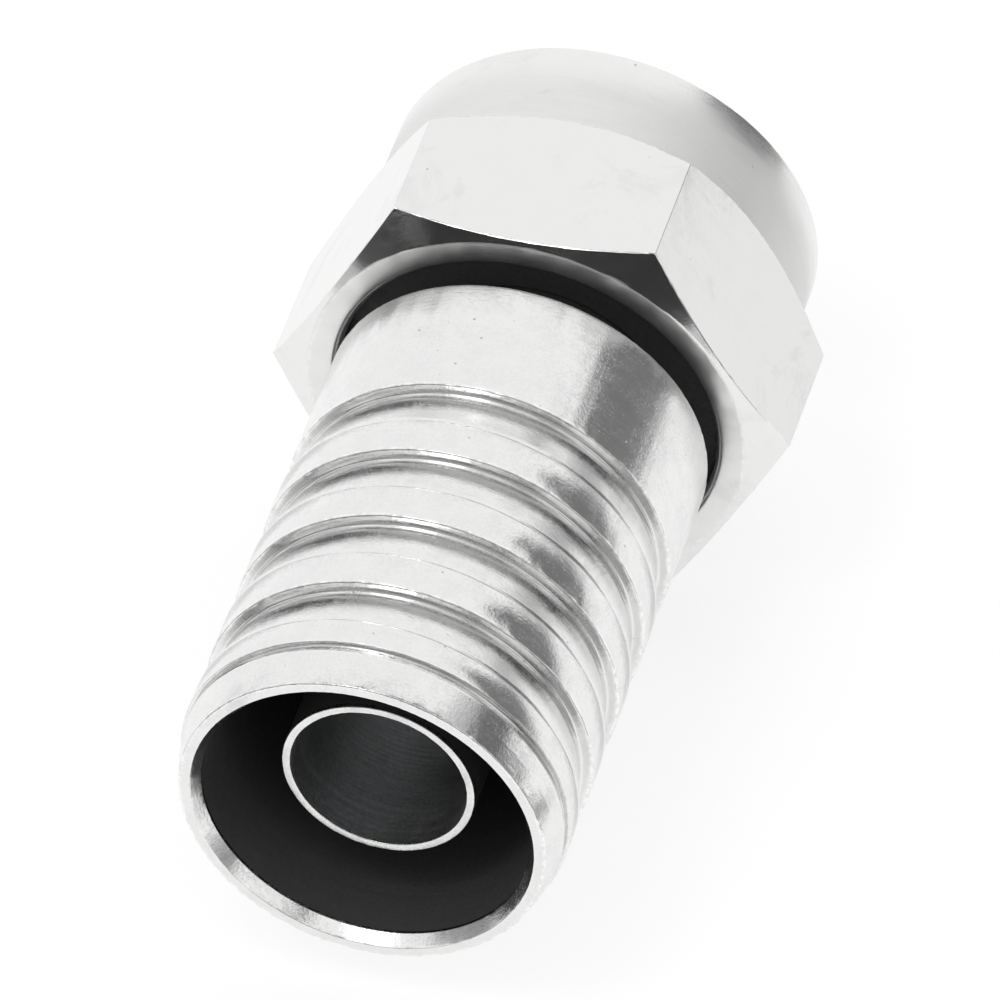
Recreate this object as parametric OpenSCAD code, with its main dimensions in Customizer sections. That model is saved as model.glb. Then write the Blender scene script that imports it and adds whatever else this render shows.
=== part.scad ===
// Crimp-on coaxial cable plug: a free-turning hex coupling nut, a grooved crimp sleeve
// and a thin hollow post. The common axis lies along Y, with the threaded front towards
// +Y and the cable entering from -Y. The origin is on the axis, in the front face of the
// post, which is the plane that the mating port seats against. The plug lies on one flat
// of the hex.

/* [Nut] */
// Width across the flats of the hex
hex_af = 11.11; // [10.8:0.01:14]
// Length of the nut from its front face to its rear ridge
nut_l = 7.2; // [6.6:0.1:10]
// Diameter of the round collar ahead of the hex
collar_d = 10.72; // [10.3:0.02:10.78]
// Length of the collar, up to where the hex begins to rise
collar_l = 2.7; // [2:0.1:3.3]
// Slope of the front chamfer on the hex corners, from the plane of the front face
front_chamfer_a = 40; // [25:1:50]
// Slope of the rear chamfer on the hex corners, from the plane of the front face
rear_chamfer_a = 24; // [15:1:30]
// Diameter of the ridge where the rear chamfer meets the rear countersink
ridge_d = 10.78; // [10.2:0.02:10.8]
// Diameter of the rear recess, just inside the countersink
recess_d = 9.36; // [8.6:0.02:9.8]
// Depth of the rear countersink
countersink_h = 0.22; // [0.1:0.01:0.4]
// Depth of the rear recess, from the ridge
recess_h = 0.8; // [0.6:0.05:1.2]
// Thickness of the lip that keeps the nut on the post
lip_l = 0.9; // [0.7:0.05:1.5]
// Break on the outer front edge of the collar
collar_break = 0.14; // [0.05:0.01:0.3]

/* [Thread] */
// Outside diameter of the thread that the nut screws onto
thread_d = 9.525; // [9.4:0.005:9.6]
// Pitch of that thread
thread_pitch = 0.79375; // [0.7:0.00625:1]
// Width of the lead-in at the front, past the outside of the thread
lead_in_w = 0.12; // [0.05:0.01:0.2]
// How far the relief groove reaches ahead of the flange
relief_ahead = 0.14; // [0.1:0.02:0.4]
// Depth of the relief groove past the outside of the thread
relief_h = 0.1; // [0.05:0.01:0.2]

/* [Crimp sleeve] */
// Outside diameter of the sleeve
sleeve_d = 9.4; // [8.8:0.05:11.3]
// Length of the sleeve
sleeve_l = 13.35; // [11.5:0.05:17]
// Wall of the sleeve
sleeve_wall = 0.75; // [0.6:0.01:0.9]
// Thickness of the wall at the front end of the sleeve
sleeve_end_l = 1.3; // [1:0.1:2.5]
// Gap between the sleeve and the rear ridge of the nut
nut_gap = 0.63; // [0.4:0.01:1]
// Width of the lead-in at the mouth, on the radius
mouth_chamfer = 0.2; // [0.1:0.01:0.25]
// Length of the lead-in at the mouth
mouth_chamfer_l = 0.31; // [0.15:0.01:0.6]
// How much the outside narrows to the mouth, on the radius
mouth_narrow = 0.285; // [0.2:0.005:0.32]
// Radius of the crown of the narrowed end section
mouth_crown_r = 5; // [3:0.5:12]
// Length of the narrowed end section
end_section_l = 0.92; // [0.7:0.02:1.4]
// Break on the outer edges of the sleeve
sleeve_break = 0.07; // [0.03:0.01:0.12]

/* [Grooves] */
// Number of saw-tooth grooves
groove_n = 4; // [1:1:5]
// Distance from one groove to the next
groove_pitch = 2.25; // [1.9:0.05:2.6]
// Depth of a groove at its step
groove_h = 0.3; // [0.15:0.01:0.4]
// Length of the level floor of a groove
groove_floor_l = 0.16; // [0.1:0.02:0.3]
// Length of the ramp that rises out of a groove
groove_ramp_l = 1.02; // [0.6:0.02:1.2]
// Radius at the foot of the step
groove_foot_r = 0.1; // [0.05:0.01:0.15]
// Distance from the last groove to the fine groove beside the end section
end_groove_gap = 1.98; // [1.6:0.02:2.4]
// Depth of the fine groove
end_groove_h = 0.14; // [0.08:0.01:0.2]
// Width of the fine groove
end_groove_w = 0.2; // [0.12:0.02:0.3]

/* [Post] */
// Outside diameter of the post tube
post_d = 4.66; // [4.6:0.02:5.6]
// Bore of the post
post_bore_d = 4.26; // [3.6:0.02:4.3]
// How far the tip of the post stays inside the mouth
post_inset = 1.4; // [0.6:0.1:3]
// Diameter of the hub that the sleeve is pressed on
hub_d = 6.5; // [6:0.05:7.2]
// How far the hub stands out of the end wall, inside the sleeve
hub_stand = 0.6; // [0.3:0.1:1.2]
// Diameter of the flange inside the nut
flange_d = 8.2; // [7.6:0.05:8.4]
// Thickness of the flange
flange_l = 0.8; // [0.6:0.05:1.5]
// Number of shallow barbs round the post tube
barb_n = 3; // [1:1:3]
// Height of a barb
barb_h = 0.16; // [0.08:0.01:0.2]
// Distance between barbs
barb_pitch = 1.5; // [1:0.1:1.6]
// Distance from the tip of the post to where the first barb begins
barb_start = 2.4; // [2:0.1:3]

/* [Fits] */
// Running clearance between the nut and the hub, on the radius
run_clear = 0.07; // [0.04:0.01:0.1]
// Gap between the flange and the lip of the nut
flange_gap = 0.06; // [0.04:0.01:0.15]

/* [Hidden] */
$fn = 96;

bright_nickel = [0.9, 0.9, 0.89];
satin_nickel = [0.85, 0.85, 0.84];
dull_tin = [0.72, 0.72, 0.71];

over = 1;                     // how far cutting shapes reach past what they cut
thread_height = 5 / 8 * cos(30) * thread_pitch;
thread_minor_r = thread_d / 2 - thread_height;
corner_r = hex_af / 2 / cos(30);
sleeve_r = sleeve_d / 2;
bore_r = sleeve_r - sleeve_wall;

// places along the axis, from the front face of the post towards the cable
lip_front = -flange_l - flange_gap;
lip_rear = lip_front - lip_l;
nut_rear = lip_rear - recess_h;
nut_front = nut_rear + nut_l;
sleeve_front = nut_rear - nut_gap;
sleeve_floor = sleeve_front - sleeve_end_l;
hub_rear = sleeve_floor - hub_stand;
mouth = sleeve_front - sleeve_l;
post_tip = mouth + post_inset;

// places of the grooves, from the mouth towards the nut
end_section_y = mouth + end_section_l;
end_groove_y = end_section_y + end_groove_w;
last_groove_y = end_groove_y + end_groove_gap;

// turns a half section about the axis of the plug: section x is the radius, section y is y
module turned() {
    rotate([-90, 0, 0]) rotate_extrude() children();
}

// half section of a ring from radius r0 to r1 and from y0 to y1
module ring_section(r0, r1, y0, y1) {
    translate([r0, y0]) square([r1 - r0, y1 - y0]);
}

// outer half section of the nut: ridge, rear chamfer, front chamfer, collar
module nut_outline() {
    wide = corner_r + over;
    rear_rise = (wide - ridge_d / 2) * tan(rear_chamfer_a);
    front_rise = (wide - collar_d / 2) * tan(front_chamfer_a);
    collar_y = nut_front - collar_l;
    polygon([
        [0, nut_rear],
        [ridge_d / 2, nut_rear],
        [wide, nut_rear + rear_rise],
        [wide, collar_y - front_rise],
        [collar_d / 2, collar_y],
        [collar_d / 2, nut_front - collar_break],
        [collar_d / 2 - collar_break, nut_front],
        [0, nut_front]
    ]);
}

// what is cut out of the nut: thread bore with lead-in and relief, lip hole, rear recess
module nut_hollow() {
    lead_in_r = thread_d / 2 + lead_in_w;
    ring_section(0, thread_minor_r, lip_front, nut_front + over);
    ring_section(0, thread_d / 2 + relief_h, lip_front, relief_ahead);
    polygon([
        [0, nut_front - lead_in_r],
        [lead_in_r + over, nut_front + over],
        [0, nut_front + over]
    ]);
    ring_section(0, hub_d / 2 + run_clear, nut_rear - over, nut_front);
    ring_section(0, recess_d / 2, nut_rear - over, lip_rear);
    polygon([
        [0, nut_rear + countersink_h],
        [recess_d / 2, nut_rear + countersink_h],
        [ridge_d / 2, nut_rear],
        [ridge_d / 2, nut_rear - over],
        [0, nut_rear - over]
    ]);
}

module coupling_nut() {
    color(bright_nickel) difference() {
        intersection() {
            translate([0, nut_front, 0]) rotate([90, 0, 0])
                cylinder(h = nut_l, r = corner_r, $fn = 6);
            turned() nut_outline();
        }
        turned() nut_hollow();
    }
}

// one saw-tooth groove: a square step that faces the mouth, a floor and a long ramp
module groove_section(step_y) {
    floor_r = sleeve_r - groove_h;
    ramp_reach = groove_floor_l + groove_ramp_l * (1 + over / groove_h);
    difference() {
        polygon([
            [floor_r, step_y],
            [sleeve_r + over, step_y],
            [sleeve_r + over, step_y - ramp_reach],
            [floor_r, step_y - groove_floor_l]
        ]);
        difference() {
            ring_section(floor_r - over, floor_r + groove_foot_r, step_y - groove_foot_r, step_y + over);
            translate([floor_r + groove_foot_r, step_y - groove_foot_r]) circle(r = groove_foot_r);
        }
    }
}

// what is cut off the end section, which narrows to the mouth on a crowned taper
module end_taper_section() {
    start = [sleeve_r - end_groove_h / 2, end_section_y];
    end = [sleeve_r - mouth_narrow, mouth];
    half = norm(start - end) / 2;
    along = (end - start) / (2 * half);
    centre = (start + end) / 2 + sqrt(mouth_crown_r ^ 2 - half ^ 2) * [along[1], -along[0]];
    difference() {
        ring_section(end[0] - over, sleeve_r + over, mouth - over, end_section_y);
        translate(centre) circle(r = mouth_crown_r, $fn = 180);
    }
}

// outer half section of the sleeve, solid to the axis
module sleeve_outline() {
    lip_r = sleeve_r - mouth_narrow;
    difference() {
        polygon([
            [0, mouth],
            [sleeve_r, mouth],
            [sleeve_r, sleeve_front - sleeve_break],
            [sleeve_r - sleeve_break, sleeve_front],
            [0, sleeve_front]
        ]);
        for (i = [0 : groove_n - 1])
            groove_section(last_groove_y + i * groove_pitch);
        ring_section(sleeve_r - end_groove_h, sleeve_r + over, end_section_y, end_groove_y);
        end_taper_section();
        polygon([
            [lip_r - sleeve_break, mouth],
            [lip_r + over, mouth + sleeve_break + over],
            [lip_r + over, mouth - over],
            [lip_r - sleeve_break, mouth - over]
        ]);
    }
}

module crimp_sleeve() {
    color(satin_nickel) turned() difference() {
        sleeve_outline();
        ring_section(0, bore_r, mouth - over, sleeve_floor);
        ring_section(0, hub_d / 2, mouth - over, sleeve_front + over);
        polygon([
            [bore_r - mouth_chamfer, mouth + 2 * mouth_chamfer_l],
            [bore_r + 2 * mouth_chamfer, mouth - mouth_chamfer_l],
            [bore_r - mouth_chamfer, mouth - mouth_chamfer_l]
        ]);
    }
}

// outer half section of the post, from its tip to the flange, with barbs that are square
// towards the hub and slope towards the tip
module post_outline() {
    post_r = post_d / 2;
    foot = (hub_d - post_d) / 2;
    barb_y = [for (i = [1 : barb_n]) post_tip + barb_start + (i - 0.5) * barb_pitch];
    polygon(concat(
        [[0, post_tip], [post_r, post_tip]],
        [for (y = barb_y) each [
            [post_r, y - barb_pitch / 2], [post_r + barb_h, y], [post_r, y]
        ]],
        [
            [post_r, hub_rear - foot],
            [hub_d / 2, hub_rear],
            [hub_d / 2, -flange_l],
            [flange_d / 2, -flange_l],
            [flange_d / 2, 0],
            [0, 0]
        ]
    ));
}

module post() {
    color(dull_tin) turned() difference() {
        post_outline();
        ring_section(0, post_bore_d / 2, post_tip - over, over);
    }
}

coupling_nut();
crimp_sleeve();
post();
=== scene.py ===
import bpy, bmesh, math
from mathutils import Matrix, Vector, noise


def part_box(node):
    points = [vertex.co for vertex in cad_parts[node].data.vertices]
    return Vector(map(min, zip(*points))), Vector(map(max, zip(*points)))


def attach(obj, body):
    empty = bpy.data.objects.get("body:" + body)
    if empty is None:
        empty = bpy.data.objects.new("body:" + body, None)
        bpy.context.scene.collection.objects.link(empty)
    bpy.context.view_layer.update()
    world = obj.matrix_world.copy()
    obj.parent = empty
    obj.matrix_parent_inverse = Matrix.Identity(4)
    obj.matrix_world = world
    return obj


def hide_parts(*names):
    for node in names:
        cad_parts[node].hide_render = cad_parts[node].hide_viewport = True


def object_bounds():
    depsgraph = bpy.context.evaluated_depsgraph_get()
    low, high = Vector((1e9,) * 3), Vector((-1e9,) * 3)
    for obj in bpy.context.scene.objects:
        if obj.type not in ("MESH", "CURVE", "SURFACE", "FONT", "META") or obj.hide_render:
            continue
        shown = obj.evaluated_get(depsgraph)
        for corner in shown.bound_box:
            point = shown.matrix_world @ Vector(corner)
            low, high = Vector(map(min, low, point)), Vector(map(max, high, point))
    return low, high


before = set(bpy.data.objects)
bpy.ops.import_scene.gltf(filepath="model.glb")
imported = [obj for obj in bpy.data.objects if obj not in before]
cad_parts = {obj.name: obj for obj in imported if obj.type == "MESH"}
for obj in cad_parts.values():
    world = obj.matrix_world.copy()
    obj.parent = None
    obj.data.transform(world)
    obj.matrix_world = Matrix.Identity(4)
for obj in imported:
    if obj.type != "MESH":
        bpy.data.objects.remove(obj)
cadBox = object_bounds()
mm = 0.001
print("frame loaded")

outlineRows = {"arcSteps": 4, "hold": 0.06, "holdShare": 0.4}  # arcs at corners, and the rows beside them
nickNoise = {"finer": 2.3, "finerShare": 0.5, "untouched": 0.1}
sharpAngle = math.radians(50)


def sidesAt(corners, i):
    # a corner's place, and the ways from it to the corners before and after
    here = Vector(corners[i][:2])
    return here, Vector(corners[i - 1][:2]) - here, Vector(corners[(i + 1) % len(corners)][:2]) - here


def cornerReach(corners, i):
    # how far a corner's rounding runs along the two sides that meet there
    here, before, after = sidesAt(corners, i % len(corners))
    rounding = corners[i % len(corners)][2]
    return rounding / math.tan(before.angle(after) / 2) if rounding else 0.0


def roundedOutline(corners):
    # each corner is (radius, y, rounding, wear and painted highlight, zone) in mm; rounded corners become
    # short arcs with a holding row just beyond each end, where the wear and the painted highlight stop
    steps, hold, share = (outlineRows[k] for k in ("arcSteps", "hold", "holdShare"))
    points = []
    for i, corner in enumerate(corners):
        rounding, wearAndHighlight, zone = corner[2:]
        here, before, after = sidesAt(corners, i)
        if not rounding:
            points.append((here, wearAndHighlight, zone))
            continue
        half = before.angle(after) / 2
        reach = cornerReach(corners, i)
        spareBefore = before.length - reach - cornerReach(corners, i - 1)
        spareAfter = after.length - reach - cornerReach(corners, i + 1)
        toBefore, toAfter = before.normalized(), after.normalized()
        middle = here + (toBefore + toAfter).normalized() * rounding / math.sin(half)
        a, b = here + toBefore * reach - middle, here + toAfter * reach - middle
        sweep = a.angle(b)
        points.append((here + toBefore * (reach + min(hold, spareBefore * share)), 0, zone))
        for k in range(steps + 1):
            t = k / steps
            arc = (a * math.sin((1 - t) * sweep) + b * math.sin(t * sweep)) / math.sin(sweep)
            points.append((middle + arc, wearAndHighlight, zone))
        points.append((here + toAfter * (reach + min(hold, spareAfter * share)), 0, zone))
    return points


def spinOutline(points, steps):
    # turns a closed outline about the plug's axis; vertices keep their wear, which also carries the painted
    # highlight, and zone
    bm = bmesh.new()
    wearAndHighlightLayer = bm.verts.layers.float.new("wearAndHighlight")
    zoneLayer = bm.verts.layers.int.new("zone")
    verts = []
    for place, wearAndHighlight, zone in points:
        v = bm.verts.new((place.x * mm, place.y * mm, 0))
        v[wearAndHighlightLayer] = wearAndHighlight
        v[zoneLayer] = zone
        verts.append(v)
    edges = [bm.edges.new((verts[i - 1], verts[i])) for i in range(len(verts))]
    bmesh.ops.spin(bm, geom=verts + edges, cent=(0, 0, 0), axis=(0, 1, 0),
                   angle=2 * math.pi, steps=steps, use_merge=True)
    bmesh.ops.recalc_face_normals(bm, faces=bm.faces)
    for f in bm.faces:
        f.material_index = min(v[zoneLayer] for v in f.verts)
    return bm


def roughenEdges(bm, s):
    # small nicks and burrs along the worn edges, only ever inwards
    wearAndHighlightLayer = bm.verts.layers.float["wearAndHighlight"]
    untouched = nickNoise["untouched"]
    bm.normal_update()
    for v in bm.verts:
        if v[wearAndHighlightLayer]:
            place = v.co / (s["nickGrain"] * mm) + Vector((s["seed"], 0, 0))
            nick = noise.noise(place) + nickNoise["finerShare"] * noise.noise(place * nickNoise["finer"])
            v.co += v.normal * (min(nick, untouched) - untouched) * v[wearAndHighlightLayer] * s["nicks"] * mm


def addObject(name, bm):
    mesh = bpy.data.meshes.new(name)
    bm.to_mesh(mesh)
    bm.free()
    made = bpy.data.objects.new(name, mesh)
    bpy.context.scene.collection.objects.link(made)
    return made


def finishPiece(bm, name, body, materials, replaced):
    for f in bm.faces:
        f.smooth = True
    for e in bm.edges:
        if len(e.link_faces) == 2:
            e.smooth = e.calc_face_angle(0) < sharpAngle and not e.seam
        e.seam = False
    piece = addObject(name, bm)
    for m in materials:
        piece.data.materials.append(m)
    even = piece.modifiers.new("evenShading", "WEIGHTED_NORMAL")
    even.keep_sharp = True
    even.weight = 100  # each normal follows its largest face
    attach(piece, body)
    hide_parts(replaced)
    return piece


def fillInputs(tree, node, inputs):
    for key, value in inputs.items():
        if isinstance(value, bpy.types.NodeSocket):
            tree.links.new(value, node.inputs[key])
        else:
            node.inputs[key].default_value = value
    return node


def addNode(tree, kind, inputs, **options):
    node = tree.nodes.new(kind)
    for key, value in options.items():
        setattr(node, key, value)
    return fillInputs(tree, node, inputs)


def addMath(tree, operation, a, b=0.0):
    return addNode(tree, "ShaderNodeMath", {0: a, 1: b}, operation=operation).outputs[0]


def addRange(tree, value, low, high, toLow=0.0, toHigh=1.0):
    inputs = {"Value": value, "From Min": low, "From Max": high, "To Min": toLow, "To Max": toHigh}
    return addNode(tree, "ShaderNodeMapRange", inputs, interpolation_type="SMOOTHSTEP").outputs["Result"]


def addMix(tree, mask, a, b):
    return addNode(tree, "ShaderNodeMix", {0: mask, 6: a, 7: b}, data_type="RGBA").outputs[2]


def addNoise(tree, vector, scale, detail, roughness, distortion=0.0):
    inputs = {"Vector": vector, "Scale": scale, "Detail": detail, "Roughness": roughness,
              "Distortion": distortion}
    return addNode(tree, "ShaderNodeTexNoise", inputs).outputs[0]


def newGroup(name, values, outputs):
    # every group takes a place, then its own numbers
    group = bpy.data.node_groups.new(name, "ShaderNodeTree")
    group.interface.new_socket(name="Vector", in_out="INPUT", socket_type="NodeSocketVector")
    for label, value in values.items():
        made = group.interface.new_socket(name=label, in_out="INPUT", socket_type="NodeSocketFloat")
        made.default_value = value
    for label in outputs:
        group.interface.new_socket(name=label, in_out="OUTPUT", socket_type="NodeSocketFloat")
    start = group.nodes.new("NodeGroupInput")
    end = group.nodes.new("NodeGroupOutput")
    return group, start.outputs, end.inputs


def useGroup(tree, group, inputs):
    node = tree.nodes.new("ShaderNodeGroup")
    node.node_tree = group
    return fillInputs(tree, node, inputs)


def makePlatingGrain():
    # fine cloudy speckle of a barrel-plated surface
    group, given, out = newGroup("platingGrain", {"Fine Scale": 12000.0, "Patch Scale": 1100.0},
                                 ["Mask", "Height"])
    fine = addNoise(group, given["Vector"], given["Fine Scale"], 3.0, 0.6)
    patch = addNoise(group, given["Vector"], given["Patch Scale"], 4.0, 0.65)
    both = addMath(group, "ADD", addMath(group, "MULTIPLY", fine, 0.5),
                   addMath(group, "MULTIPLY", patch, 0.5))
    group.links.new(addRange(group, both, 0.4, 0.62), out["Mask"])
    group.links.new(fine, out["Height"])
    return group


def makeTurnedRings():
    # tool marks round the axis, broken up along their length
    group, given, out = newGroup("turnedRings", {"Scale": 20000.0, "Stretch": 0.04}, ["Mask", "Height"])
    spread = addNode(group, "ShaderNodeCombineXYZ", {"X": given["Stretch"], "Y": 1.0, "Z": given["Stretch"]})
    along = addNode(group, "ShaderNodeVectorMath", {0: given["Vector"], 1: spread.outputs[0]},
                    operation="MULTIPLY")
    rings = addNoise(group, along.outputs[0], given["Scale"], 2.0, 0.55)
    group.links.new(addRange(group, rings, 0.3, 0.7), out["Mask"])
    group.links.new(rings, out["Height"])
    return group


def makeSmudges():
    # faint handling marks with ragged sides
    group, given, out = newGroup("smudges", {"Scale": 600.0, "Level": 0.56}, ["Mask"])
    cloud = addNoise(group, given["Vector"], given["Scale"], 6.0, 0.68, distortion=0.6)
    high = addMath(group, "ADD", given["Level"], 0.14)
    group.links.new(addRange(group, cloud, given["Level"], high), out["Mask"])
    return group


def makeSpecks():
    # scattered pits, a few to the square millimetre and no two the same size
    group, given, out = newGroup("specks", {"Scale": 2500.0, "Size": 0.12, "Share": 0.3}, ["Mask"])
    cells = addNode(group, "ShaderNodeTexVoronoi", {"Vector": given["Vector"], "Scale": given["Scale"]})
    chance = addNode(group, "ShaderNodeSeparateColor", {"Color": cells.outputs["Color"]}).outputs
    size = addMath(group, "MULTIPLY", given["Size"], addRange(group, chance[1], 0.0, 1.0, 0.3, 1.0))
    picked = addMath(group, "LESS_THAN", chance[0], given["Share"])
    core = addMath(group, "MULTIPLY", size, 0.4)
    spot = addRange(group, cells.outputs["Distance"], core, size, 1.0, 0.0)
    group.links.new(addMath(group, "MULTIPLY", spot, picked), out["Mask"])
    return group


def makeEdgeWearAndHighlight():
    # broken bright line along the edges that rub: the nicks there are real wear, the brighter colour is a
    # painted highlight
    group, given, out = newGroup("edgeWearAndHighlight", {"Scale": 5000.0}, ["Mask"])
    wearAndHighlightMask = addNode(group, "ShaderNodeAttribute", {}, attribute_name="wearAndHighlight").outputs["Fac"]
    breaks = addNoise(group, given["Vector"], given["Scale"], 4.0, 0.6)
    ragged = addRange(group, breaks, 0.42, 0.56)
    group.links.new(addMath(group, "MULTIPLY", wearAndHighlightMask, ragged), out["Mask"])
    return group


platingGrain, turnedRings = makePlatingGrain(), makeTurnedRings()
smudges, specks, edgeWearAndHighlight = makeSmudges(), makeSpecks(), makeEdgeWearAndHighlight()


def newMaterial(name):
    material = bpy.data.materials.new(name)
    material.use_nodes = True
    return material, material.node_tree, material.node_tree.nodes["Principled BSDF"]


def makePlating(name, p):
    material, tree, shader = newMaterial(name)
    place = addNode(tree, "ShaderNodeTexCoord", {}).outputs["Object"]
    grain = useGroup(tree, platingGrain, {
        "Vector": place, "Fine Scale": p["fineScale"], "Patch Scale": p["patchScale"]}).outputs
    rings = useGroup(tree, turnedRings, {"Vector": place, "Scale": p["ringScale"]}).outputs
    marks = useGroup(tree, smudges, {
        "Vector": place, "Scale": p["smudgeScale"], "Level": p["smudgeLevel"]}).outputs
    pits = useGroup(tree, specks, {
        "Vector": place, "Scale": p["pitScale"], "Size": p["pitSize"], "Share": p["pitShare"]}).outputs
    wearAndHighlight = useGroup(tree, edgeWearAndHighlight, {"Vector": place, "Scale": p["wearAndHighlightScale"]}).outputs
    clean, dull, bright, pitted = ((*p[k], 1.0) for k in ("clean", "dull", "bright", "pitted"))
    colour = clean
    for effect, amount, other in ((grain, "grainColour", dull), (marks, "smudgeColour", dull),
                                  (pits, "pitColour", pitted)):
        colour = addMix(tree, addMath(tree, "MULTIPLY", effect["Mask"], p[amount]), colour, other)
    # painted highlight: the worn edges get the bright colour
    tree.links.new(addMix(tree, wearAndHighlight["Mask"], colour, bright), shader.inputs["Base Color"])
    rough = p["roughness"]
    for effect, amount in ((grain, "grainRough"), (rings, "ringRough"), (marks, "smudgeRough")):
        rough = addMath(tree, "ADD", rough, addMath(tree, "MULTIPLY", effect["Mask"], p[amount]))
    if "buffed" in p:
        along = addNode(tree, "ShaderNodeSeparateXYZ", {"Vector": place}).outputs["Y"]
        begins, ends, extra = p["buffed"]
        rough = addMath(tree, "ADD", rough, addRange(tree, along, begins, ends, extra, 0.0))
    tree.links.new(rough, shader.inputs["Roughness"])
    shader.inputs["Metallic"].default_value = p["metallic"]
    height = addMath(tree, "ADD", addMath(tree, "MULTIPLY", grain["Height"], p["grainHeight"]),
                     addMath(tree, "MULTIPLY", rings["Height"], p["ringHeight"]))
    height = addMath(tree, "SUBTRACT", height, addMath(tree, "MULTIPLY", pits["Mask"], p["pitHeight"]))
    bump = addNode(tree, "ShaderNodeBump", {"Height": height, "Distance": 0.00001, "Strength": 1.0})
    tree.links.new(bump.outputs[0], shader.inputs["Normal"])
    return material


sleevePlating = {
    # the bright colour is a painted highlight laid on the worn edges
    "clean": (0.845, 0.845, 0.84), "dull": (0.62, 0.62, 0.625), "bright": (0.95, 0.95, 0.945),
    "pitted": (0.16, 0.16, 0.165), "roughness": 0.1, "metallic": 1.0,
    "fineScale": 15000.0, "patchScale": 1700.0, "grainColour": 0.16, "grainRough": 0.14, "grainHeight": 0.42,
    "ringScale": 16000.0, "ringRough": 0.05, "ringHeight": 0.12,
    "smudgeScale": 500.0, "smudgeLevel": 0.6, "smudgeColour": 0.3, "smudgeRough": 0.12,
    "pitScale": 3200.0, "pitShare": 0.3, "pitSize": 0.13, "pitColour": 0.3, "pitHeight": 1.0,
    "wearAndHighlightScale": 5200.0,
}
nutPlating = dict(
    sleevePlating, clean=(0.835, 0.835, 0.83), grainColour=0.03, grainRough=0.03, grainHeight=0.1,
    smudgeColour=0.22, smudgeLevel=0.54, smudgeRough=0.05, pitShare=0.05, ringHeight=0.05, ringRough=0.02)
collarPlating = dict(
    nutPlating, clean=(0.86, 0.86, 0.855), roughness=0.16, ringHeight=0.4, ringRough=0.08,
    smudgeLevel=0.55, buffed=(0.0031, 0.0046, 0.45))  # roughest near the hex, bright at the front
sinkPlating = dict(nutPlating, clean=(0.85, 0.85, 0.845), roughness=0.3, ringHeight=0.3, grainRough=0.08)
postPlating = dict(sleevePlating, clean=(0.84, 0.84, 0.83), roughness=0.22, grainColour=0.3)
# painted shade: a near-black colour for the bores, the nut's recess and lip and the hidden post, standing in
# for the shade inside them
paintedShadeFinish = {
    "clean": (0.075, 0.075, 0.075), "dull": (0.055, 0.055, 0.055), "bright": (0.08, 0.08, 0.08),
    "pitted": (0.16, 0.16, 0.165), "roughness": 0.5, "metallic": 0.2,
    "fineScale": 9000.0, "patchScale": 900.0, "grainColour": 0.6, "grainRough": 0.15, "grainHeight": 0.3,
    "ringScale": 9000.0, "ringRough": 0.1, "ringHeight": 0.4,
    "smudgeScale": 400.0, "smudgeLevel": 0.55, "smudgeColour": 0.5, "smudgeRough": 0.1,
    "pitScale": 2500.0, "pitShare": 0.1, "pitSize": 0.12, "pitColour": 0.0, "pitHeight": 0.6,
    "wearAndHighlightScale": 5000.0,
}
# painted shade: a dimmer grey copy of the plating for inside the post's bore
paintedShadePostFinish = dict(
    paintedShadeFinish, clean=(0.54, 0.545, 0.555), dull=(0.44, 0.44, 0.447), metallic=1.0, roughness=0.3)

brightNickel = makePlating("brightNickel", nutPlating)
turnedNickel = makePlating("turnedNickel", collarPlating)
satinSink = makePlating("satinSink", sinkPlating)
satinNickel = makePlating("satinNickel", sleevePlating)
dullTin = makePlating("dullTin", postPlating)
# painted shade for the inside faces
paintedShadeBore = makePlating("paintedShadeBore", paintedShadeFinish)
# painted shade inside the post's bore
paintedShadePostBore = makePlating("paintedShadePostBore", paintedShadePostFinish)
print("materials made")

sleeve = {  # lengths in mm
    "steps": 320, "wall": 0.75, "endWall": 1.3, "hubRadius": 3.25,
    "frontRound": 0.07, "innerRound": 0.05, "endWallRound": 0.1,
    "grooves": 4, "pitch": 2.25, "grooveDepth": 0.3, "floor": 0.16, "ramp": 1.02,
    "crestRound": 0.045, "footRound": 0.07, "rampRound": 0.04, "rampEndRound": 0.2,
    "mark": 1.26, "markDepth": 0.012, "markHalf": 0.02,  # faint turned line on each land
    "fineWidth": 0.2, "fineDepth": 0.14, "fineGap": 1.98, "fineRound": 0.02,
    "endSection": 0.92, "narrow": 0.285, "narrowHalfway": 0.16, "crownRound": 0.5, "mouthRound": 0.035,
    # the last key here is how far into the bore the plated colour runs before the painted shade begins
    "chamfer": 0.2, "rimRound": 0.02, "leadLength": 0.31, "leadRound": 0.03, "shadeStartsInside": 0.07,
    "nicks": 0.022, "nickGrain": 0.14, "seed": 3.0,
}


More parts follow.
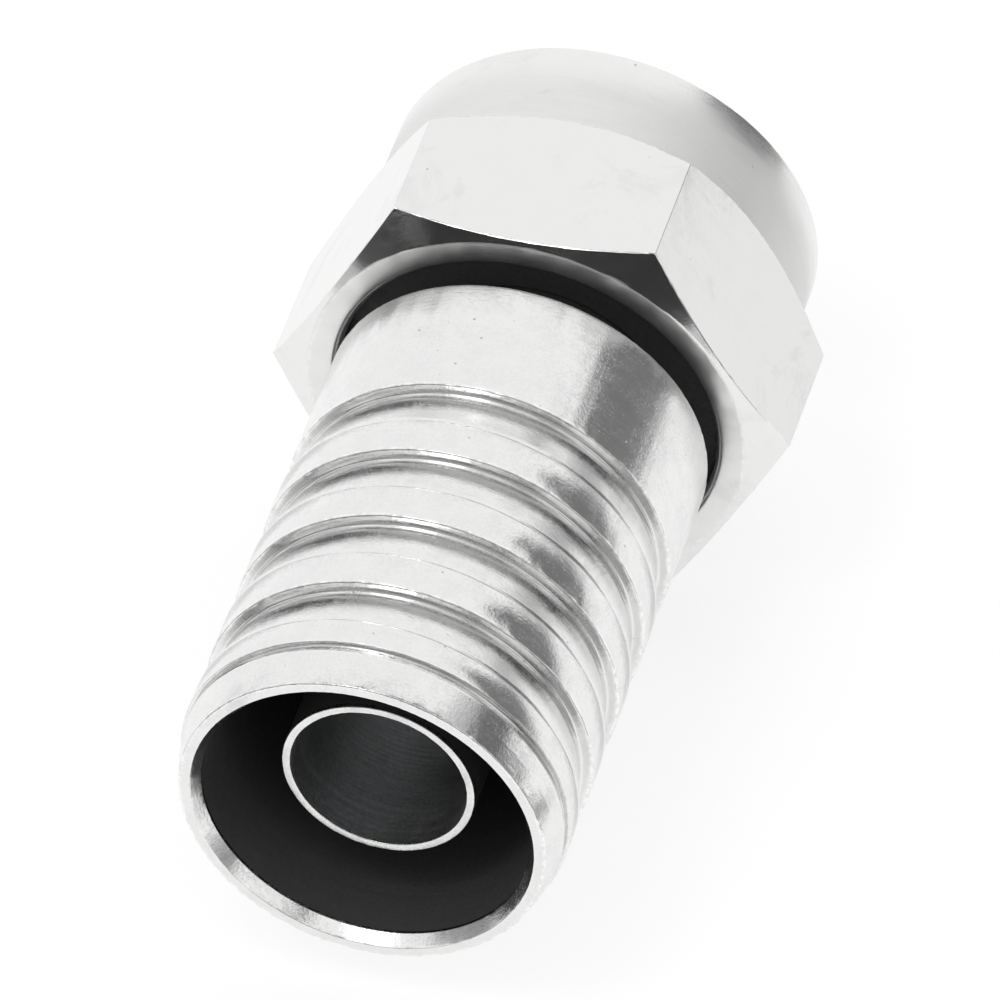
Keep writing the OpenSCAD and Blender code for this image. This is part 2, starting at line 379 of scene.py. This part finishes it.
def sleeveOutline(s, low, high):
    # from the hub hole at the front, over the grooves to the mouth, and back along the bore
    # the second zone is painted shade: a near-black colour on the inside faces
    plated, paintedShade = 0, 1
    radius, mouth, front = high.x / mm, low.y / mm, high.y / mm
    bore, endWall = radius - s["wall"], front - s["endWall"]
    fineRear = mouth + s["endSection"]
    fineFront = fineRear + s["fineWidth"]
    leadEnd = mouth + s["leadLength"]
    corners = [(s["hubRadius"], front, s["innerRound"], 0, paintedShade),
               (radius, front, s["frontRound"], 0.5, plated)]
    foot = radius - s["grooveDepth"]
    for i in reversed(range(s["grooves"])):
        step = fineFront + s["fineGap"] + i * s["pitch"]
        mark = step - s["mark"]
        corners += [
            (radius, step, s["crestRound"], 1, plated), (foot, step, s["footRound"], 0, plated),
            (foot, step - s["floor"], s["rampRound"], 0, plated),
            (radius, step - s["floor"] - s["ramp"], s["rampEndRound"], 0, plated),
            (radius, mark + s["markHalf"], 0, 0, plated), (radius - s["markDepth"], mark, 0, 0, plated),
            (radius, mark - s["markHalf"], 0, 0, plated)]
    foot = radius - s["fineDepth"]
    corners += [
        (radius, fineFront, s["fineRound"], 0.6, plated), (foot, fineFront, s["fineRound"], 0, plated),
        (foot, fineRear, s["fineRound"], 0, plated),
        (radius - s["fineDepth"] / 2, fineRear, s["fineRound"], 0.5, plated),
        (radius - s["narrowHalfway"], mouth + s["endSection"] / 2, s["crownRound"], 0, plated),
        (radius - s["narrow"], mouth, s["mouthRound"], 1, plated),
        (bore + s["chamfer"], mouth, s["rimRound"], 0.4, plated),
        (bore, leadEnd, s["leadRound"], 0.3, plated),
        (bore, leadEnd + s["shadeStartsInside"], 0, 0, paintedShade),
        (bore, endWall, s["endWallRound"], 0, paintedShade), (s["hubRadius"], endWall, s["innerRound"], 0, paintedShade)]
    return corners


def buildSleeve(s):
    low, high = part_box("crimp_sleeve")
    bm = spinOutline(roundedOutline(sleeveOutline(s, low, high)), s["steps"])
    roughenEdges(bm, s)
    return finishPiece(bm, "crimpSleeve", "plug_body", [satinNickel, paintedShadeBore],
                       "crimp_sleeve")


buildSleeve(sleeve)
print("sleeve built")

post = {  # lengths in mm
    "steps": 192, "tubeRadius": 2.33, "boreRadius": 2.13, "tipRound": 0.025,
    "hubRadius": 3.25, "hubStand": 0.6, "sleeveWall": 1.3, "taperRound": 0.2, "hubRound": 0.1,
    "flangeThick": 0.8, "flangeFoot": 0.03, "flangeRear": 0.05, "flangeFront": 0.07, "seatRound": 0.05,
    "barbs": 3, "barbHeight": 0.16, "barbPitch": 1.5, "barbStart": 2.4, "barbRound": 0.03,
    "tipOutside": 0.12, "tipInside": 0.08, "seatInside": 0.12,  # how far the tin colour reaches past the ends before the painted shade begins
    "nicks": 0.02, "nickGrain": 0.18, "seed": 11.0,
}


def postOutline(s, low, high, hubRear):
    # from the bore at the tip, over the barbs to the flange, and round its front face to the bore
    # the second zone is near-black painted shade on the tube, barbs and hub; the third is a dimmer grey
    # painted shade inside the bore
    tin, paintedShade, paintedGreyShade = 0, 1, 2
    tip, flange, flangeRear = low.y / mm, high.x / mm, -s["flangeThick"]
    tube, bore, hub = s["tubeRadius"], s["boreRadius"], s["hubRadius"]
    corners = [
        (bore, tip + s["tipInside"], 0, 0, paintedGreyShade), (bore, tip, s["tipRound"], 0.6, tin),
        (tube, tip, s["tipRound"], 0.6, tin), (tube, tip + s["tipOutside"], 0, 0, paintedShade)]
    for i in range(s["barbs"]):
        y = tip + s["barbStart"] + (i + 0.5) * s["barbPitch"]
        corners += [
            (tube, y - s["barbPitch"] / 2, 0, 0, paintedShade), (tube + s["barbHeight"], y, s["barbRound"], 0, paintedShade),
            (tube, y, s["barbRound"], 0, paintedShade)]
    corners += [
        (tube, hubRear - (hub - tube), s["taperRound"], 0, paintedShade), (hub, hubRear, s["hubRound"], 0, paintedShade),
        (hub, flangeRear, s["flangeFoot"], 0, paintedShade), (flange, flangeRear, s["flangeRear"], 0.3, tin),
        (flange, 0, s["flangeFront"], 0.5, tin), (bore, 0, s["seatRound"], 0.5, tin),
        (bore, -s["seatInside"], 0, 0, paintedGreyShade)]
    return corners


def buildPost(s):
    low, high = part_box("post")
    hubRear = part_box("crimp_sleeve")[1].y / mm - s["sleeveWall"] - s["hubStand"]
    bm = spinOutline(roundedOutline(postOutline(s, low, high, hubRear)), s["steps"])
    roughenEdges(bm, s)
    return finishPiece(bm, "centrePost", "plug_body", [dullTin, paintedShadeBore, paintedShadePostBore], "post")


buildPost(post)
print("post built")

nut = {  # lengths in mm, slopes in degrees
    "steps": 240, "blankMargin": 0.25, "cornerRound": 0.025, "edgeRound": 0.02,
    "collarRadius": 5.36, "collarLength": 2.7, "collarFoot": 0.12, "collarBreak": 0.14, "collarRound": 0.06,
    "frontRound": 0.05, "frontSlope": 40, "rearSlope": 24, "ridgeRadius": 5.39, "ridgeWidth": 0.08,
    "sink": 0.22, "crownRadius": 4.8, "crownDepth": 0.04, "crownRound": 0.15,  # a slightly crowned face
    # the last key here is how far into the recess the plated colour runs before the painted shade begins
    "recessRadius": 4.68, "recessDepth": 0.8, "recessRound": 0.12, "shadeStartsInside": 0.3,
    "lip": 0.9, "lipRadius": 3.32, "edgeBreak": 0.04, "lineBreak": 0.03,
    "leadIn": 4.8825, "minor": 4.333, "major": 4.7625, "pitch": 0.79375, "flank": 30,
    "relief": 4.8625, "reliefAhead": 0.14, "reliefRound": 0.06,
    "threadSteps": 96, "threadInside": 0.09, "rootBreak": 0.03, "rootEase": 0.02,
    "runIn": 0.35, "runOut": 1.4,  # the second in turns
    "nicks": 0.03, "nickGrain": 0.25, "seed": 23.0,
}


def nutOutline(s, low, high, blank):
    # the round blank, from the recess over the ridge and collar to the front, and back along the bore
    # the second zone is painted shade: the recess and lip are coloured near black
    milled, paintedShade, turned, sunk = range(4)
    rear, front = low.y / mm, high.y / mm
    ridge, collar, recess, lip = (s[k + "Radius"] for k in ("ridge", "collar", "recess", "lip"))
    rearTan, frontTan = (math.tan(math.radians(s[k])) for k in ("rearSlope", "frontSlope"))
    collarY = front - s["collarLength"]
    lipRear = rear + s["recessDepth"]
    lipFront = lipRear + s["lip"]
    return [
        (recess, rear + s["sink"], s["edgeBreak"], 0.5, sunk),
        (s["crownRadius"], rear + s["crownDepth"], s["crownRound"], 0, sunk),
        (ridge, rear, s["lineBreak"], 0.7, sunk),
        (ridge + s["ridgeWidth"], rear + s["ridgeWidth"] * rearTan, 0, 0, milled),
        (blank, rear + (blank - ridge) * rearTan, 0, 0, milled),
        (blank, collarY - (blank - collar) * frontTan, 0, 0, milled),
        (collar, collarY, s["collarFoot"], 0, turned),
        (collar, front - s["collarBreak"], s["collarRound"], 0.3, turned),
        (collar - s["collarBreak"], front, s["frontRound"], 0.3, turned),
        (s["leadIn"], front, s["lineBreak"], 0.5, turned),
        (s["minor"], front - (s["leadIn"] - s["minor"]), 0, 0, turned),
        (s["minor"], s["reliefAhead"], 0, 0, turned),
        (s["relief"], s["reliefAhead"], s["edgeBreak"], 0, turned),
        (s["relief"], lipFront, s["reliefRound"], 0, turned), (lip, lipFront, s["edgeBreak"], 0, turned),
        (lip, lipRear, s["edgeBreak"], 0, paintedShade), (recess, lipRear, s["recessRound"], 0, paintedShade),
        (recess, rear + s["sink"] + s["shadeStartsInside"], 0, 0, paintedShade),
    ]


def threadCutter(s, front):
    # a ridge with sixty-degree flanks, wound round the axis from the relief groove to ahead of the nut
    bm = bmesh.new()
    major, inner = s["major"], s["minor"] - s["threadInside"]
    flat = s["pitch"] / 16
    foot = flat + (major - inner) * math.tan(math.radians(s["flank"]))
    side = [(inner, foot), (major - s["rootBreak"], flat + s["rootBreak"] / 2), (major, flat - s["rootEase"])]
    corners = [(x, -y) for x, y in side] + side[::-1]
    turns = math.ceil((front - s["reliefAhead"]) / s["pitch"]) + s["runOut"]
    start = s["reliefAhead"] - s["runIn"]
    verts = [bm.verts.new((x * mm, (y + start) * mm, 0)) for x, y in corners]
    face = bm.faces.new(verts)
    bmesh.ops.spin(bm, geom=[face] + face.edges[:] + verts, cent=(0, 0, 0), axis=(0, -1, 0),
                   dvec=(0, s["pitch"] * mm / s["threadSteps"], 0), angle=2 * math.pi * turns,
                   steps=round(turns * s["threadSteps"]), use_duplicate=False)
    bmesh.ops.recalc_face_normals(bm, faces=bm.faces)
    return addObject("threadCutter", bm)


def cutThread(bm, cutter, inside):
    # the blank is cut while it is still plain, then comes back for milling
    blank = addObject("nutBlank", bm)
    cut = blank.modifiers.new("thread", "BOOLEAN")
    cut.operation = "DIFFERENCE"
    cut.solver = "EXACT"
    cut.object = cutter
    bpy.context.view_layer.update()
    seen = bpy.context.evaluated_depsgraph_get()
    threaded = bmesh.new()
    threaded.from_mesh(blank.evaluated_get(seen).data)
    bmesh.ops.dissolve_degenerate(threaded, dist=1e-7, edges=threaded.edges)
    for e in threaded.edges:
        # shading stops where a flank or the lead-in meets what is left of the bore
        kinds = {f.material_index for f in e.link_faces}
        corner = kinds == {0, 2} or e.calc_face_angle(0) > math.radians(30)
        e.seam = corner and e.verts[0].co.xz.length < inside
    for o in (blank, cutter):
        data = o.data
        bpy.data.objects.remove(o)
        bpy.data.meshes.remove(data)
    return threaded


def millFlats(bm, apothem, flatLayer):
    for k in range(6):
        turn = math.radians(30 + 60 * k)
        facing = Vector((math.cos(turn), 0, math.sin(turn)))
        cut = bmesh.ops.bisect_plane(bm, geom=bm.verts[:] + bm.edges[:] + bm.faces[:], dist=1e-8,
                                     plane_co=facing * apothem, plane_no=facing, clear_outer=True)
        rim = [e for e in cut["geom_cut"] if isinstance(e, bmesh.types.BMEdge)]
        for f in bmesh.ops.contextual_create(bm, geom=rim)["faces"]:
            f[flatLayer] = k + 1


def breakNutEdges(bm, s, flatLayer):
    # first the six long corners, then the edges between the flats and the turned chamfers
    cornerStrip = 9  # marks the rounded corners, beside flats 1 to 6
    corners = [e for e in bm.edges if len(e.link_faces) == 2 and all(f[flatLayer] for f in e.link_faces)]
    rounded = bmesh.ops.bevel(bm, geom=corners, offset=s["cornerRound"] * mm, segments=4, profile=0.5,
                              affect="EDGES", material=-1, clamp_overlap=False)
    for f in rounded["faces"]:
        f[flatLayer] = cornerStrip
    rims = [e for e in bm.edges if len(e.link_faces) == 2
            and sum(1 for f in e.link_faces if f[flatLayer]) == 1]
    broken = bmesh.ops.bevel(bm, geom=rims, offset=s["edgeRound"] * mm, segments=2, profile=0.5,
                             affect="EDGES", material=-1, clamp_overlap=False)
    wearAndHighlightLayer = bm.verts.layers.float["wearAndHighlight"]
    strip = set(broken["faces"])
    for e in set(e for f in strip for e in f.edges):
        e.seam = not all(f in strip for f in e.link_faces)  # shading stops at the broken edge
    for v in set(v for f in strip for v in f.verts):
        v[wearAndHighlightLayer] = 1.0 if all(f in strip for f in v.link_faces) else 0.0


def buildNut(s):
    low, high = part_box("coupling_nut")
    blank = high.x / mm + s["blankMargin"]
    bm = spinOutline(roundedOutline(nutOutline(s, low, high, blank)), s["steps"])
    bm = cutThread(bm, threadCutter(s, high.y / mm), s["leadIn"] * mm)
    flatLayer = bm.faces.layers.int.new("flat")
    millFlats(bm, high.z, flatLayer)
    breakNutEdges(bm, s, flatLayer)
    roughenEdges(bm, s)
    openEdges = sum(1 for e in bm.edges if len(e.link_faces) != 2)
    print("nut:", len(bm.faces), "faces,", openEdges, "open edges")
    return finishPiece(bm, "couplingNut", "nut",
                       [brightNickel, paintedShadeBore, turnedNickel, satinSink], "coupling_nut")


buildNut(nut)
print("nut built")

camera = {  # angles in degrees, distances in mm
    "azimuth": 17.36, "elevation": 44.69, "roll": -2.185, "distance": 312.2,
    "right": -2.774, "up": -7.543, "aim": 5.418, "focal": 12861.0, "frameWidth": 1000, "sensor": 36,
    "clip": (0.01, 3),
}


def addCamera(c):
    azimuth, elevation, roll = (math.radians(c[k]) for k in ("azimuth", "elevation", "roll"))
    back = Vector((math.sin(azimuth) * math.cos(elevation), -math.cos(azimuth) * math.cos(elevation),
                   math.sin(elevation)))
    level = (-back).cross(Vector((0, 0, 1))).normalized()
    upright = level.cross(-back)
    data = bpy.data.cameras.new("camera")
    data.sensor_width = c["sensor"]
    data.lens = c["focal"] * c["sensor"] / c["frameWidth"]
    data.clip_start, data.clip_end = c["clip"]
    cam = bpy.data.objects.new("camera", data)
    bpy.context.scene.collection.objects.link(cam)
    right = level * math.cos(roll) + upright * math.sin(roll)
    up = upright * math.cos(roll) - level * math.sin(roll)
    place = Vector((0, c["aim"], 0)) + right * c["right"] + up * c["up"] + back * c["distance"]
    turn = Matrix((right, up, back)).transposed().to_4x4()
    cam.matrix_world = Matrix.Translation(place * mm) @ turn
    bpy.context.scene.camera = cam


up, down, forward, backward, leftward, rightward = (
    (0, 0, 1), (0, 0, -1), (0, 1, 0), (0, -1, 0), (-1, 0, 0), (1, 0, 0))
studio = {
    "floorSize": 0.8, "floorColour": 0.36, "floorFill": 0.72, "worldDiffuse": 0.78,
    "lampPlace": (-37, -68, 155), "lampSize": 0.05, "lampPower": 0.03,
    "cards": {  # what the plating mirrors: centre and size in mm, facing, level
        "frontFloor": ((10, -95, -5.3), (190, 110), up, 0.035),
        "frontLeftFloor": ((-40, -37, -5.2), (48, 24), up, 0.08),
        "leftFloor": ((-46, -20, -5.3), (68, 10), up, 0.6),
        "rightFloor": ((45, -22, -5.3), (60, 26), up, 0.42),
        "farRightFloor": ((80, 76, -5.3), (130, 130), up, 0.95),
        "backFloor": ((98, 98, -5.2), (84, 84), up, 0.2),
        "rampFloor": ((38, 100, -5.1), (36, 100), up, 0.4),
        "rampCard": ((52, 150, 3), (40, 18), backward, 0.3),
        "frontLow": ((10, -150, 12), (300, 36), forward, 0.035),
        "frontHigh": ((10, -150, 57), (300, 54), forward, 0.6),
        "frontTop": ((-10, -150, 130), (310, 92), forward, 0.2),
        "frontLeft": ((-150, -150, 57), (110, 54), forward, 0.4),
        "overhead": ((15, -28, 140), (220, 32), down, 0.18),
        "leftSide": ((-150, -40, 62), (60, 130), rightward, 0.32),
        "leadFlag": ((96, -78, 157), (60, 28), (-0.482, 0.39, -0.787), 0.03),
        "rightLow": ((160, -60, 12), (190, 36), leftward, 0.28),
        "rightMiddle": ((160, -5, 45), (80, 30), leftward, 0.35),
        "rightHigh": ((150, 20, 80), (130, 80), leftward, 0.16),
        "rightTop": ((150, 20, 155), (130, 70), leftward, 0.6),
        "backRight": ((140, 140, 62), (116, 134), (-1, -1, 0), 0.19),
    },
}


def seenShare(tree):
    # one for what the camera, a gloss or a glass sees directly
    path = addNode(tree, "ShaderNodeLightPath", {})
    share = addMath(tree, "MAXIMUM", path.outputs["Is Camera Ray"], path.outputs["Is Glossy Ray"])
    return addMath(tree, "MAXIMUM", share, path.outputs["Is Transmission Ray"])


def stagePlane(name, centre, facing, width, height, material):
    bm = bmesh.new()
    bmesh.ops.create_grid(bm, x_segments=1, y_segments=1, size=0.5)
    bmesh.ops.scale(bm, vec=(width, height, 1), verts=bm.verts)
    out = Vector(facing).normalized()
    side = Vector((0, 1, 0) if abs(out.z) > 0.99 else (0, 0, 1)).cross(out).normalized()
    turn = Matrix((side, out.cross(side), out)).transposed().to_4x4()
    bmesh.ops.transform(bm, matrix=Matrix.Translation(centre) @ turn, verts=bm.verts)
    plane = addObject(name, bm)
    plane.data.materials.append(material)
    return plane


def makeFloor(s):
    material, tree, shader = newMaterial("paleFloor")
    shade = s["floorColour"]
    shader.inputs["Base Color"].default_value = (shade, shade, shade, 1)
    shader.inputs["Roughness"].default_value = 0.9
    shader.inputs["Specular IOR Level"].default_value = 0.0
    shader.inputs["Emission Color"].default_value = (1, 1, 1, 1)
    fill = addMath(tree, "MULTIPLY", seenShare(tree), s["floorFill"])
    tree.links.new(fill, shader.inputs["Emission Strength"])
    return stagePlane("floor", (0, 0, cadBox[0][2]), up, s["floorSize"], s["floorSize"], material)


def addCard(name, centre, size, facing, level):
    # only a gloss sees a card; it neither lights the plug nor shades it
    material, tree, shader = newMaterial(name)
    shader.inputs["Base Color"].default_value = (0, 0, 0, 1)
    shader.inputs["Specular IOR Level"].default_value = 0.0
    shader.inputs["Emission Color"].default_value = (1, 1, 1, 1)
    shader.inputs["Emission Strength"].default_value = level
    card = stagePlane(name, Vector(centre) * mm, facing, size[0] * mm, size[1] * mm, material)
    card.visible_camera = False
    card.visible_diffuse = False
    card.visible_shadow = False
    card.visible_transmission = False
    return card


def addLight(s):
    world = bpy.data.worlds.new("studio")
    bpy.context.scene.world = world
    world.use_nodes = True
    tree = world.node_tree
    background = tree.nodes["Background"]
    background.inputs["Color"].default_value = (1, 1, 1, 1)
    level = addRange(tree, seenShare(tree), 0.0, 1.0, s["worldDiffuse"], 1.0)
    tree.links.new(level, background.inputs["Strength"])
    data = bpy.data.lights.new("softLamp", "AREA")
    data.size = s["lampSize"]
    data.energy = s["lampPower"]
    lamp = bpy.data.objects.new("softLamp", data)
    bpy.context.scene.collection.objects.link(lamp)
    place = Vector(s["lampPlace"]) * mm
    turn = place.to_track_quat("Z", "Y").to_matrix().to_4x4()
    lamp.matrix_world = Matrix.Translation(place) @ turn


addCamera(camera)
makeFloor(studio)
for cardName, cardPlan in studio["cards"].items():
    addCard(cardName, *cardPlan)
addLight(studio)
bpy.context.scene.view_settings.view_transform = "Standard"
print("studio set")
